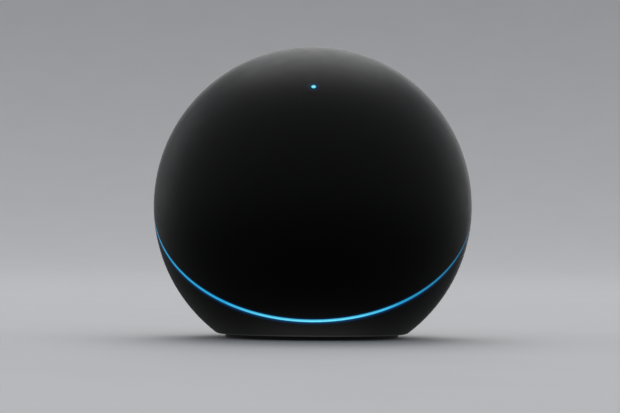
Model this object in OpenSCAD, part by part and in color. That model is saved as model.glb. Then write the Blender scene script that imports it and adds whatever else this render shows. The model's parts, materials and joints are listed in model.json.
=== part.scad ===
// Spherical smart home hub: a dome that turns on a tilted axis over a cast lower
// housing, with a light ring in the seam between them and a status light at the pole.
// Millimetres, +Z up, front towards -Y, origin at the centre of the foot on the table.

/* [Body] */
// Diameter of the whole ball
ball_d = 116; // [115:0.5:118]
// Height of the ball's centre above the table
centre_h = 48; // [47.6:0.1:48.6]
// Lean of the dome's axis from the vertical, towards the front
lean = 45; // [44:0.5:46]
// Wall of the moulded dome
dome_wall = 2.6; // [2.2:0.1:2.8]
// Wall of the cast lower housing
housing_wall = 3.6; // [3:0.1:3.8]

/* [Light ring] */
// Width of the glowing band in the seam
ring_w = 1; // [0.8:0.1:1.2]
// Running gap between the band and the dome
seam_gap = 0.2; // [0.15:0.05:0.3]
// Bevel on the two edges that face the band
seam_bevel = 0.25; // [0.15:0.05:0.4]
// Number of light emitters under the band
led_count = 32; // [16:8:40]

/* [Status light] */
// Diameter of the lens at the dome's pole
status_d = 3; // [2.4:0.1:3.2]

/* [Foot] */
// Outer diameter of the rubber foot
foot_d = 63; // [61:0.5:64]
// Gap between the housing and the table
foot_gap = 1.4; // [1.2:0.05:1.45]

/* [Rear ports] */
// Width of the rear port bay
bay_w = 60; // [59:0.5:61]
// Height of the rear port bay
bay_h = 24; // [23.8:0.1:24.4]
// Bore of each speaker socket
socket_bore_d = 4; // [4:0.05:4.2]

/* [Hidden] */
$fn = 96;

ball_r = ball_d / 2;
big = 2 * ball_d;
slip = 0.05;                                   // clearance of parts that only locate each other
pilot = 0.02;                                  // clearance of a screw in its hole
small_screw_r = 1;
board_screw_r = 1.25;
base_screw_r = 1.5;

// Levels along the dome's axis, from the ball's centre
ring_z = ring_w / 2;                           // top of the band
dome_z = ring_z + seam_gap;                    // rim of the dome
ring_inner_r = ball_r - 4.8;
led_board_z = -2;                              // underside of the ring board, on the deck
led_board_t = 1.1;
led_board_r = [40, ball_r - 5.2];
led_size = [2.2, 3, 1.2];
deck_z = [-4.5, led_board_z];
deck_r = ball_r - 4.4;

// Bearings: two 20 x 32 x 7 deep-groove bearings on a hollow spindle
bore_r = 10;
race_r = 16;
bearing_w = 7;
bearing_z = [4, 19];                           // lower face of each bearing
pitch_r = 13.1;
ball_bearing_r = 1.75;
balls_per_race = 12;
groove_r = ball_bearing_r + slip;
spindle_bore_r = 7;
spindle_top = 46;
spindle_screw_at = 14;
clip_z = 26.8;
clip_t = 1;

// Dome carrier
carrier_z = [5, 7.5];
carrier_r = ball_r - 3.6;
hub_r = 19;
spokes = 6;
boss_at = 49;
boss_r = 2.8;
carrier_screws_n = 6;

// Touch cap under the crown of the dome
cap_r = ball_r - 4;
cap_t = 1.2;
cap_rim_z = 44;
cap_boss_r = 12;
cap_plug = 6;                                   // how far the cap reaches into the spindle
led_pocket_r = 6.2;
led_pocket_z = 50.5;
lens_flange_r = 3.2;

// Lower housing
inner_r = ball_r - housing_wall;
floor_z = 4.4;
foot_groove_z = foot_gap + 0.6;
foot_inner_r = 21;
cover_r = 19;
cover_t = 0.8;
base_round = 3;                                // radius of the edge between the flat base and the ball
graze = 4;                                     // angle at which that round meets the flat and the ball
leg_at = [[-26, -8], [26, -8], [-26, 12], [26, 12]];
leg_r = 3.5;
standoff_at = [[-12, -14], [12, -14], [-14, 27], [14, 27]];
standoff_r = 3;
pedestal_at = [0, 4];
pedestal = [16, 16, 10];                       // width, depth and top level

// Boards
main_z = 12;
board_t = 1.6;
main_top = main_z + board_t;
power_z = -9;                                  // upper face of the power board, along the axis
power_size = [42, 44];
power_y = -26;
transformer_at = [0, -6];
power_post_at = [[-18, -23], [18, -23], [-18, 15], [18, 15]];
io_y = [24.4, 26];

// Rear bay and its ports; port positions are [x, z]
bay_centre_z = 31;
bay_corner = 5;
bay_floor_y = 39;
panel_t = 1.6;
panel_y = bay_floor_y + panel_t;               // front face of the panel
bay_wall = 2.2;
window = [53.6, 20.4];
post_at = [[-30.2, 24], [30.2, 24], [-30.2, 38], [30.2, 38]];
panel_screw_at = [[-28.2, 31.9], [28.2, 31.9]];
speaker_at = [[-4.5, 26], [4.5, 26], [-4.5, 36], [4.5, 36]];
speaker_block = [8.8, 9.8];
speaker_collar_r = 4.1;
socket_r = 2.9;
socket_floor_y = 27.5;
speaker_cut = [18, 20];
inlet_at = [-17.9, 26.6];
inlet_body = [16.8, 9.2];
inlet_lobe_r = 3.6;
inlet_waist = 5.4;
inlet_pin_gap = 8.6;
inlet_pin_r = 1.2;
ethernet_at = [18.5, 28.3];
ethernet_body = [15.8, 13.2];
ethernet_cavity = [11.8, 8.2];
optical_at = [-21.4, 36.7];
optical_body = [9.6, 8.4];
optical_cavity = [7, 6.4];
hdmi_at = [14.3, 38.3];
hdmi_body = [7.2, 3.2];
usb_at = [22.6, 38.3];
usb_body = [7.6, 3.2];
port_fit = 0.1;                                // gap round a port in the panel
button_at = [-12.7, 36.7];
button_r = 2.2;
button_travel = 0.7;
shutter_y = 39.2;
shutter_pin_z = optical_at[1] + optical_cavity[1] / 2 - 0.6;
shutter_pin_r = 0.4;

// Colours
black = "#141518";
soft_black = "#1c1d20";
board_green = "#123522";
steel = "#b9bcc0";
gold = "#c9a24a";

// ---------------------------------------------------------------- helpers

// The dome's own frame: its axis along Z, its origin at the ball's centre
module leaning() translate([0, 0, centre_h]) rotate([lean, 0, 0]) children();

// Everything on the dome's side of a level on the leaning axis
module above(level) leaning() translate([-big / 2, -big / 2, level]) cube(big);

// Everything on the housing's side of a level on the leaning axis
module below(level) leaning() translate([-big / 2, -big / 2, level - big]) cube(big);

module ball(r) translate([0, 0, centre_h]) sphere(r = r);

module ring(r_in, r_out, z0, z1) translate([0, 0, z0]) difference() {
  cylinder(r = r_out, h = z1 - z0);
  translate([0, 0, -1]) cylinder(r = r_in, h = z1 - z0 + 2);
}

// A profile drawn in X and Z, carried along Y from y0 to y1
module along_y(y0, y1) translate([0, y1, 0]) rotate([90, 0, 0]) linear_extrude(y1 - y0) children();

module rod_y(at, r, y0, y1) translate([at[0], y0, at[1]]) rotate([-90, 0, 0]) cylinder(r = r, h = y1 - y0);

module block_y(at, size, y0, y1) translate([at[0] - size[0] / 2, y0, at[1] - size[1] / 2])
  cube([size[0], y1 - y0, size[1]]);

module slab(at, size, z0, z1) translate([at[0] - size[0] / 2, at[1] - size[1] / 2, z0])
  cube([size[0], size[1], z1 - z0]);

function corner_points(x, z, r, from, steps = 6) =
  [for (i = [0:steps]) [x + r * cos(from + 90 * i / steps), z + r * sin(from + 90 * i / steps)]];

function round_rect(w, h, r) = concat(
  corner_points(w / 2 - r, h / 2 - r, r, 0),
  corner_points(r - w / 2, h / 2 - r, r, 90),
  corner_points(r - w / 2, r - h / 2, r, 180),
  corner_points(w / 2 - r, r - h / 2, r, 270));

module bay_outline(grow) translate([0, bay_centre_z])
  polygon(round_rect(bay_w + 2 * grow, bay_h + 2 * grow, bay_corner + grow));

// A pan-head screw along Z, its head standing on z = 0 and its shank below
module screw(shank_r, length, head_r, head_h) {
  difference() {
    cylinder(r = head_r, h = head_h);
    translate([0, 0, head_h - 0.6 * head_h]) cylinder(r = 0.55 * head_r, h = head_h, $fn = 6);
  }
  translate([0, 0, -length]) cylinder(r = shank_r, h = length);
}

// ---------------------------------------------------------------- dome

module dome_boss_places() for (i = [0:carrier_screws_n - 1]) rotate([0, 0, 30 + i * 360 / carrier_screws_n])
  translate([boss_at, 0, 0]) children();

module dome_shell() color(black) difference() {
  union() {
    difference() {
      ball(ball_r);
      ball(ball_r - dome_wall);
    }
    intersection() {
      ball(ball_r - dome_wall / 2);
      leaning() dome_boss_places() translate([0, 0, carrier_z[1] + slip]) cylinder(r = boss_r, h = 30);
    }
  }
  below(dome_z);
  seam_edge(dome_z, 1);
  leaning() dome_boss_places() translate([0, 0, carrier_z[1] - 1])
    cylinder(r = small_screw_r + pilot, h = 13);
  leaning() translate([0, 0, cap_r]) cylinder(r = status_d / 2 + pilot, h = 10);
}

module status_lens() color("#9fdcf2") leaning() {
  intersection() {
    translate([0, 0, led_pocket_z + 2.1]) cylinder(r = status_d / 2, h = 10);
    sphere(r = ball_r - 0.05);
  }
  ring(status_d / 2 - 0.1, lens_flange_r, cap_r + 0.3, ball_r - dome_wall - 0.11);
}

module dome_carrier() color("#2b2d31") leaning() difference() {
  union() {
    translate([0, 0, bearing_z[0] - 0.6]) cylinder(r = hub_r, h = 23.8);
    translate([0, 0, carrier_z[0]]) cylinder(r = carrier_r, h = carrier_z[1] - carrier_z[0]);
    for (i = [0:spokes - 1]) rotate([0, 0, (i + 0.5) * 360 / spokes])
      translate([hub_r - 1, -1, carrier_z[1] - 0.5])
        cube([boss_at - hub_r - 3, 2, 4]);
  }
  cylinder(r = race_r + pilot, h = bearing_z[0] + bearing_w);
  cylinder(r = race_r - 1.6, h = 40);
  translate([0, 0, bearing_z[1]]) cylinder(r = race_r + pilot, h = 20);
  for (i = [0:spokes - 1]) rotate([0, 0, i * 360 / spokes]) translate([36, 0, 0])
    cylinder(r = 7.5, h = 20);
  dome_boss_places() cylinder(r = 1.3, h = 20);
}

module carrier_screws() color(steel) leaning() dome_boss_places()
  translate([0, 0, carrier_z[0]]) rotate([180, 0, 0]) screw(small_screw_r, 12, 2.1, 1.5);

module encoder_magnet() color("#3a3a3e") leaning() ring(24, 28.2, 2.2, carrier_z[0]);

// ---------------------------------------------------------------- spindle and bearings

module spindle_screw_places() for (i = [0:3]) rotate([0, 0, 45 + 90 * i])
  translate([spindle_screw_at, 0, 0]) children();

module spindle() color("#c8cacd") leaning() difference() {
  union() {
    translate([0, 0, led_board_z]) cylinder(r = 17, h = 2.5);
    translate([0, 0, 0.4]) cylinder(r = bore_r + 1.4, h = bearing_z[0] - 0.4);
    translate([0, 0, bearing_z[0] - 1]) cylinder(r = bore_r - pilot, h = spindle_top - bearing_z[0] + 1);
  }
  translate([0, 0, -10]) cylinder(r = spindle_bore_r, h = 80);
  ring(bore_r - 0.6, bore_r + 3, clip_z - 0.02, clip_z + clip_t + 0.02);
  spindle_screw_places() translate([0, 0, -5]) cylinder(r = board_screw_r + pilot, h = 10);
}

module bearing_places() leaning() for (z = bearing_z) translate([0, 0, z + bearing_w / 2]) children();

module race_groove() rotate_extrude() translate([pitch_r, 0]) circle(r = groove_r);

module bearing_inner_races() color(steel) bearing_places() difference() {
  ring(bore_r, 12.1, -bearing_w / 2, bearing_w / 2);
  race_groove();
}

module bearing_outer_races() color(steel) bearing_places() difference() {
  ring(14.1, race_r, -bearing_w / 2, bearing_w / 2);
  race_groove();
}

module bearing_balls() color("#d8dadd") bearing_places() for (i = [0:balls_per_race - 1])
  rotate([0, 0, i * 360 / balls_per_race]) translate([pitch_r, 0, 0]) sphere(r = ball_bearing_r);

module bearing_cages() color("#b08d57") bearing_places() difference() {
  ring(12.35, 13.85, -1, 2.7);
  for (i = [0:balls_per_race - 1]) rotate([0, 0, i * 360 / balls_per_race])
    translate([pitch_r, 0, 0]) sphere(r = groove_r);
}

module bearing_spacer() color("#c8cacd") leaning()
  ring(bore_r, 11.6, bearing_z[0] + bearing_w, bearing_z[1]);

module preload_washer() color(steel) leaning()
  ring(bore_r + slip, 11.8, bearing_z[1] + bearing_w, clip_z);

module retaining_ring() color("#55585c") leaning() difference() {
  ring(bore_r - 0.55, 12.4, clip_z, clip_z + clip_t);
  translate([0, -1.6, clip_z - 1]) cube([20, 3.2, 4]);
}

// ---------------------------------------------------------------- touch cap and status light

module touch_cap() color("#e4e2da") leaning() difference() {
  union() {
    difference() {
      sphere(r = cap_r);
      sphere(r = cap_r - cap_t);
    }
    intersection() {
      sphere(r = cap_r - cap_t / 2);
      translate([0, 0, spindle_top]) cylinder(r = cap_boss_r, h = 10);
    }
    translate([0, 0, spindle_top - cap_plug]) cylinder(r = spindle_bore_r - slip, h = cap_plug + 1);
  }
  translate([0, 0, cap_rim_z - big]) ring(spindle_bore_r + 1, big, 0, big);
  translate([0, 0, -big + spindle_top - cap_plug]) cylinder(r = big / 2, h = big);
  translate([0, 0, 20]) cylinder(r = 4.5, h = 40);
  translate([0, 0, led_pocket_z]) cylinder(r = led_pocket_r, h = 20);
}

module spherical_band(r_in, r_out, from_r, to_r) difference() {
  sphere(r = r_out);
  sphere(r = r_in);
  translate([0, 0, -big]) cylinder(r = big, h = big);
  cylinder(r = from_r, h = big);
  ring(to_r, big, 0, big);
}

module touch_electrode() color("#c77b4a") leaning() spherical_band(cap_r + 0.02, cap_r + 0.25, 9, 29);

module nfc_antenna() color("#b8733f") leaning() for (r = [15, 17.5, 20])
  spherical_band(cap_r - cap_t - 0.3, cap_r - cap_t - 0.02, r, r + 1.5);

module status_led_board() color(board_green) leaning()
  translate([0, 0, led_pocket_z]) cylinder(r = 6, h = 1);

module status_led() color("#f4f3e6") leaning() slab([0, 0], [2, 2], led_pocket_z + 1, led_pocket_z + 1.9);

cable_y = -30;                                 // where the cable leaves the deck
cable_w = 6;
cable_t = 0.3;
cable_level = -6.3;                            // its run under the deck, along the axis
cable_tail = 9;                                // its upright end, on the main board

module sensor_cable() color("#c98a3c") {
  leaning() translate([-cable_w / 2, -cable_t / 2, cable_level])
    cube([cable_w, cable_t, led_pocket_z - 0.1 - cable_level]);
  leaning() translate([-cable_w / 2, cable_y, cable_level])
    cube([cable_w, cable_t / 2 - cable_y, cable_t]);
  end_y = cable_y * cos(lean) - cable_level * sin(lean);
  translate([-cable_w / 2, end_y, main_top]) cube([cable_w, cable_t, cable_tail]);
}

// ---------------------------------------------------------------- light ring

module light_ring() color("#bfe9fb") leaning() ring(ring_inner_r, ball_r - 0.05, -ring_z, ring_z);

module led_board_screw_places() for (i = [0:3]) rotate([0, 0, 45 + 90 * i])
  translate([43, 0, led_board_z + led_board_t]) children();

module led_ring_board() color(board_green) leaning() difference() {
  ring(led_board_r[0], led_board_r[1], led_board_z, led_board_z + led_board_t);
  led_board_screw_places() translate([0, 0, -5]) cylinder(r = small_screw_r + pilot, h = 10);
}

module ring_leds() color("#f4f3e6") leaning() for (i = [0:led_count - 1])
  rotate([0, 0, (i + 0.5) * 360 / led_count])
    translate([led_board_r[1] - 0.2 - led_size[0], -led_size[1] / 2, led_board_z + led_board_t])
      cube(led_size);

// ---------------------------------------------------------------- chassis

module chassis_legs() intersection() {
  for (p = leg_at) translate([p[0], p[1], floor_z]) cylinder(r = leg_r, h = 60);
  below(deck_z[0] + 1);
}

module chassis() color("#8d9095") difference() {
  union() {
    leaning() translate([0, 0, deck_z[0]]) cylinder(r = deck_r, h = deck_z[1] - deck_z[0]);
    chassis_legs();
    leaning() for (p = power_post_at) translate([p[0], p[1], power_z]) cylinder(r = 2.6, h = 5);
  }
  leaning() translate([0, 0, -20]) cylinder(r = spindle_bore_r, h = 40);
  for (p = leg_at) translate([p[0], p[1], 0]) cylinder(r = base_screw_r + pilot, h = 18);
  leaning() for (p = power_post_at) translate([p[0], p[1], power_z - 1])
    cylinder(r = board_screw_r + pilot, h = 5.4);
  leaning() spindle_screw_places() translate([0, 0, -10])
    cylinder(r = board_screw_r + pilot, h = 10);
  leaning() led_board_screw_places() translate([0, 0, -10])
    cylinder(r = small_screw_r + pilot, h = 12);
}

module base_screws() color(steel) for (p = leg_at) translate([p[0], p[1], 3.4])
  rotate([180, 0, 0]) screw(base_screw_r, 12, 2.9, 1.3);

module encoder_board() color(board_green) leaning() difference() {
  ring(22, 31, led_board_z, led_board_z + 1);
  translate([-50, -100, -10]) cube([100, 112, 20]);
}

module hall_sensors() color(black) leaning() for (a = [60, 90, 120]) rotate([0, 0, a])
  translate([26.1, 0, 0]) slab([0, 0], [3, 4], led_board_z + 1, led_board_z + 2.1);

module antennas() color("#1d5a3a") leaning() for (side = [-1, 1])
  slab([side * 34, -2], [7, 18], led_board_z, led_board_z + 1);

// ---------------------------------------------------------------- lower housing

// The round at the base is a torus: its tube's centre is at [round_r, round_z], and the tube
// crosses the ball at the angle ball_cross from straight down
round_z = foot_gap + base_round * cos(graze);
ball_cross = 33.3;
cross_z = round_z - base_round * cos(ball_cross);
cross_r = sqrt(ball_r * ball_r - (centre_h - cross_z) * (centre_h - cross_z));
round_r = cross_r - base_round * sin(ball_cross);
cut_top = cross_z + base_round / 25;           // just above the crossing, outside the ball

module base_round_cut() rotate_extrude() difference() {
  translate([round_r, -1]) square([8, cut_top + 1]);
  translate([round_r, round_z]) circle(r = base_round);
}

// A bevel round the ball's edge at a level on the leaning axis; side is 1 above it and -1 below it
module seam_edge(level, side) leaning() rotate_extrude() polygon([
  [ball_r - seam_bevel, level - side],
  [ball_r - seam_bevel, level],
  [ball_r, level + side * seam_bevel],
  [ball_r + 2, level + side * seam_bevel],
  [ball_r + 2, level - side]
]);

module housing_body() difference() {
  ball(ball_r);
  translate([-big / 2, -big / 2, foot_gap - big]) cube(big);
  base_round_cut();
  intersection() {
    ball(inner_r);
    translate([-big / 2, -big / 2, floor_z]) cube(big);
  }
}

module bay_walls() intersection() {
  ball(ball_r - housing_wall / 2);
  along_y(bay_floor_y - 2, 70) bay_outline(bay_wall);
}

module deck_ledge() intersection() {
  ball(ball_r - housing_wall / 2);
  leaning() ring(51, 60, deck_z[0] - 2.8, deck_z[0]);
}

module lower_housing() color(soft_black) difference() {
  union() {
    housing_body();
    bay_walls();
    deck_ledge();
    for (p = standoff_at) translate([p[0], p[1], floor_z - 0.5])
      cylinder(r = standoff_r, h = main_z - floor_z + 0.5);
    slab(pedestal_at, [pedestal[0], pedestal[1]], floor_z - 0.5, pedestal[2]);
    for (p = post_at) rod_y(p, 2.1, io_y[1], bay_floor_y - 1);
  }
  above(-ring_z);
  seam_edge(-ring_z, -1);
  along_y(bay_floor_y, 80) bay_outline(0);
  block_y([0, bay_centre_z], window, bay_floor_y - 10, bay_floor_y + 1);
  for (p = post_at) rod_y(p, small_screw_r + pilot, io_y[1] - 1, io_y[1] + 6);
  for (p = panel_screw_at) rod_y(p, small_screw_r + pilot, bay_floor_y - 8, bay_floor_y + 1);
  for (p = standoff_at) translate([p[0], p[1], 6.5]) cylinder(r = board_screw_r + pilot, h = 10);
  for (p = leg_at) {
    translate([p[0], p[1], -1]) cylinder(r = 1.7, h = 10);
    translate([p[0], p[1], -1]) cylinder(r = 3.1, h = 4.4);
  }
  ring(foot_inner_r - slip, foot_d / 2 + slip, -1, foot_groove_z);
  translate([0, 0, -1]) cylinder(r = cover_r, h = foot_groove_z + 1);
}

module foot_pad() color("#26272a") difference() {
  ring(foot_inner_r, foot_d / 2, 0, foot_groove_z);
  for (r = [24.5, 28]) ring(r - 0.5, r + 0.5, -1, 0.4);
}

module base_cover() color("#1a1b1e") translate([0, 0, foot_groove_z - cover_t])
  cylinder(r = cover_r - slip, h = cover_t);

// ---------------------------------------------------------------- boards

module main_board() color(board_green) difference() {
  intersection() {
    translate([0, 0, main_z]) cylinder(r = 38, h = board_t);
    translate([-50, -20, 0]) cube([100, 54, 40]);
  }
  for (p = leg_at) translate([p[0], p[1], 0]) cylinder(r = leg_r + 0.6, h = 40);
  for (p = standoff_at) translate([p[0], p[1], 0]) cylinder(r = board_screw_r + pilot, h = 40);
}

module board_screws() color(steel) {
  for (p = standoff_at) translate([p[0], p[1], main_top]) screw(board_screw_r, 6.5, 2.2, 1.5);
  leaning() spindle_screw_places() translate([0, 0, 0.5]) screw(board_screw_r, 4.9, 2.2, 1.5);
  leaning() for (p = power_post_at) translate([p[0], p[1], power_z - board_t])
    rotate([180, 0, 0]) screw(board_screw_r, 5.5, 2.2, 1.5);
}

module shield_cans() color("#a8abaf") {
  slab([0, 2], [22, 22], main_top, main_top + 2.6);
  slab([-29, 1], [12, 9], main_top, main_top + 2.2);
}

module board_chips() color(black) {
  for (side = [-1, 1]) slab([side * 17, -5], [9, 12], main_top, main_top + 1.2);
  slab([29, 1], [9, 9], main_top, main_top + 1.4);
  slab(pedestal_at, [10, 10], main_z - 1, main_z);
}

module thermal_pad() color("#8f9aa8") slab(pedestal_at, [12, 12], pedestal[2], main_z - 1);

module amplifier_inductors() color("#4b4d50") for (x = [-31, -22, 22, 31]) difference() {
  slab([x, 20], [7, 7], main_top, main_top + 5);
  translate([x, 20, main_top + 4.5]) cylinder(r = 2, h = 2);
}

module board_capacitors() color("#3b4f86") for (x = [-13.5, -5, 5, 13.5])
  translate([x, 17.5, main_top]) cylinder(r = 2.6, h = 6);

module board_connector() color("#e4e2da") slab([0, 22.4], [26, 4], main_top, 18.4);

module power_board() color("#7a5a22") leaning() difference() {
  translate([-power_size[0] / 2, power_y, power_z - board_t]) cube([power_size[0], power_size[1], board_t]);
  for (p = power_post_at) translate([p[0], p[1], power_z - 5]) cylinder(r = board_screw_r + pilot, h = 10);
}

power_under = power_z - board_t;               // solder-free face that carries the parts

module transformer() color("#d9b13a") leaning() difference() {
  union() {
    slab(transformer_at, [18, 15], power_under - 13, power_under);
    slab(transformer_at, [13, 19], power_under - 11, power_under - 2);
  }
  slab(transformer_at, [8, 30], power_under - 8, power_under - 5);
}

module bulk_capacitors() color("#2c3e63") leaning() for (side = [-1, 1])
  translate([side * 15.2, -7, power_under - 13]) cylinder(r = 5, h = 13);

module power_heatsink() color("#9a9da1") leaning() {
  slab([0, -20], [28, 1.6], power_under - 9, power_under);
  for (i = [-4:4]) slab([i * 3.2, -18.6], [0.9, 2.2], power_under - 9, power_under);
}

module power_choke() color("#8a4b2a") leaning() translate([0, 9.5, 0])
  ring(2.4, 5.2, power_under - 6, power_under);

module fuse() color("#c9c2ae") leaning() translate([11, 8, power_under - 2.2]) rotate([0, 90, 90])
  cylinder(r = 2, h = 8);

// Two insulated leads from the mains inlet to the power board, each in a plane of its own
lead_r = 0.9;
lead_sides = 8;
lead_path = [[24.4, 27], [22, 27], [20.4, 28.6], [20, 33], [20, 39], [19, 45], [15.5, 48.5]];

function lead_tangent(i) = let (
  a = lead_path[max(i - 1, 0)],
  b = lead_path[min(i + 1, len(lead_path) - 1)],
  d = b - a
) d / norm(d);

function lead_ring(x, i) = let (t = lead_tangent(i)) [for (k = [0:lead_sides - 1])
  let (c = lead_r * cos(360 * k / lead_sides), s = lead_r * sin(360 * k / lead_sides))
  [x + c, lead_path[i][0] - s * t[1], lead_path[i][1] + s * t[0]]];

module lead(x) {
  rings = len(lead_path);
  points = [for (i = [0:rings - 1]) each lead_ring(x, i)];
  sides = [for (i = [0:rings - 2]) for (k = [0:lead_sides - 1])
    let (a = i * lead_sides + k, b = i * lead_sides + (k + 1) % lead_sides)
    [a, b, b + lead_sides, a + lead_sides]];
  start = [for (k = [lead_sides - 1:-1:0]) k];
  end = [for (k = [0:lead_sides - 1]) (rings - 1) * lead_sides + k];
  polyhedron(points, concat([start], sides, [end]));
}

module power_leads() color("#7b2320") for (side = [-1, 1]) lead(inlet_at[0] + 2 * side);

module io_board() color(board_green) difference() {
  block_y([0, 30.8], [65, 30], io_y[0], io_y[1]);
  for (p = post_at) rod_y(p, small_screw_r + pilot, 0, 50);
}

module screw_along_y(p, head_y, facing, length) translate([p[0], head_y, p[1]])
  rotate([-90 * facing, 0, 0]) screw(small_screw_r, length, 1.6, 1.1);

module panel_screws() color("#2a2b2e") {
  for (p = post_at) screw_along_y(p, io_y[0], -1, 6.5);
  for (p = panel_screw_at) screw_along_y(p, panel_y - 0.6, 1, 5);
  leaning() led_board_screw_places() screw(small_screw_r, 3.4, 1.6, 1.1);
}

// ---------------------------------------------------------------- rear ports

module rear_panel() color("#101114") difference() {
  along_y(bay_floor_y, panel_y) bay_outline(-0.2);
  block_y([0, bay_centre_z], speaker_cut, 30, 50);
  rod_y(button_at, button_r + slip, 30, 50);
  block_y(inlet_at, inlet_body + [1, 1] * 2 * port_fit, 30, 50);
  block_y(ethernet_at, ethernet_body + [1, 1] * 2 * port_fit, 30, 50);
  block_y(optical_at, optical_body + [1, 1] * 2 * port_fit, 30, 50);
  block_y(hdmi_at, hdmi_body + [1, 1] * 2 * port_fit, 30, 50);
  block_y(usb_at, usb_body + [1, 1] * 2 * port_fit, 30, 50);
  for (p = panel_screw_at) {
    rod_y(p, small_screw_r + pilot, 30, 50);
    rod_y(p, 1.7, panel_y - 0.6, 50);
  }
}

module speaker_blocks() color("#202124") for (p = speaker_at) difference() {
  union() {
    block_y(p, speaker_block, io_y[1], panel_y);
    rod_y(p, speaker_collar_r, panel_y - 1, panel_y + 1.4);
  }
  rod_y(p, socket_r + slip, 20, 60);
}

module speaker_sockets() color(gold) for (p = speaker_at) difference() {
  rod_y(p, socket_r, io_y[1], panel_y + 0.9);
  rod_y(p, socket_bore_d / 2, socket_floor_y, 60);
}

module inlet_cavity() translate(inlet_at) {
  for (side = [-1, 1]) translate([side * inlet_lobe_r, 0]) circle(r = inlet_lobe_r);
  square([2 * inlet_lobe_r, inlet_waist], center = true);
}

module power_inlet() color(black) difference() {
  block_y(inlet_at, inlet_body, io_y[1], panel_y);
  along_y(29, 50) inlet_cavity();
  for (side = [-1, 1]) rod_y(inlet_at + [side * inlet_pin_gap / 2, 0], inlet_pin_r + pilot, 20, 50);
}

module inlet_pins() color(steel) for (side = [-1, 1])
  rod_y(inlet_at + [side * inlet_pin_gap / 2, 0], inlet_pin_r, io_y[1], 38.2);

module ethernet_jack() color("#b4b7bb") difference() {
  block_y(ethernet_at, ethernet_body, io_y[1], panel_y);
  block_y(ethernet_at, ethernet_cavity, 28, 50);
  block_y(ethernet_at - [0, ethernet_cavity[1] / 2], [6, 3.2], 28, 50);
}

module ethernet_contacts() color(gold) for (i = [0:7])
  translate([ethernet_at[0] + (i - 3.5) * 1.02 - 0.2, 28, ethernet_at[1] + ethernet_cavity[1] / 2 - 0.9])
    rotate([4, 0, 0]) cube([0.4, 9, 0.25]);

module thin_socket(at, body, cavity, tongue, depth) {
  difference() {
    block_y(at, body, io_y[1], panel_y);
    block_y(at, cavity, panel_y - depth, 50);
  }
  block_y(at, tongue, panel_y - depth - 0.5, panel_y - 1.2);
}

module hdmi_socket() color(steel) thin_socket(hdmi_at, hdmi_body, [6.2, 2.3], [4.4, 0.6], 6.5);

module usb_socket() color(steel) thin_socket(usb_at, usb_body, [6.8, 2.1], [3.8, 0.6], 5.5);

module optical_jack() color("#17181b") difference() {
  block_y(optical_at, optical_body, io_y[1], panel_y);
  block_y(optical_at, optical_cavity, 29, 50);
  translate([optical_at[0] - optical_cavity[0] / 2 - 0.8, shutter_y, shutter_pin_z])
    rotate([0, 90, 0]) cylinder(r = shutter_pin_r + slip, h = optical_cavity[0] + 1.6);
}

module optical_shutter() color("#3a3c40") {
  w = optical_cavity[0] - 0.3;
  drop = optical_cavity[1] - 0.75;
  translate([optical_at[0] - w / 2, shutter_y - 0.4, shutter_pin_z - drop]) cube([w, 0.8, drop]);
  translate([optical_at[0] - optical_cavity[0] / 2 - 0.7, shutter_y, shutter_pin_z])
    rotate([0, 90, 0]) cylinder(r = shutter_pin_r, h = optical_cavity[0] + 1.4);
}

module pairing_button() color("#2c2e33") difference() {
  union() {
    rod_y(button_at, button_r, bay_floor_y - 0.6, panel_y + 0.9);
    rod_y(button_at, button_r + 0.5, bay_floor_y - 0.6, bay_floor_y - 0.1);
    rod_y(button_at, 1.1, io_y[1] + 4.3 + button_travel, bay_floor_y);
  }
  translate([button_at[0], panel_y + 2.7, button_at[1]]) sphere(r = 2.1);
}

module button_switch() color(black) {
  block_y(button_at, [6, 6], io_y[1], io_y[1] + 3.5);
  rod_y(button_at, 1.6, io_y[1] + 3.4, io_y[1] + 4.2);
}

// ---------------------------------------------------------------- nodes

dome_shell();
status_lens();
light_ring();
lower_housing();
foot_pad();
base_cover();
rear_panel();
chassis();
base_screws();
led_ring_board();
ring_leds();
spindle();
bearing_inner_races();
bearing_outer_races();
bearing_balls();
bearing_cages();
bearing_spacer();
preload_washer();
retaining_ring();
dome_carrier();
carrier_screws();
encoder_magnet();
encoder_board();
hall_sensors();
touch_cap();
touch_electrode();
nfc_antenna();
status_led_board();
status_led();
sensor_cable();
antennas();
main_board();
board_screws();
shield_cans();
board_chips();
amplifier_inductors();
board_capacitors();
thermal_pad();
board_connector();
power_board();
transformer();
bulk_capacitors();
power_heatsink();
power_choke();
fuse();
io_board();
panel_screws();
power_inlet();
inlet_pins();
ethernet_jack();
ethernet_contacts();
hdmi_socket();
usb_socket();
optical_jack();
optical_shutter();
speaker_sockets();
speaker_blocks();
power_leads();
pairing_button();
button_switch();
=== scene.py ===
"""Looks of the ball-shaped smart home hub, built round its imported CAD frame.
Metres, +Z up, front towards -Y. The mesh builders work in millimetres."""
import json
import math

import bmesh
import bpy
from mathutils import Matrix, Vector


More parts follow.
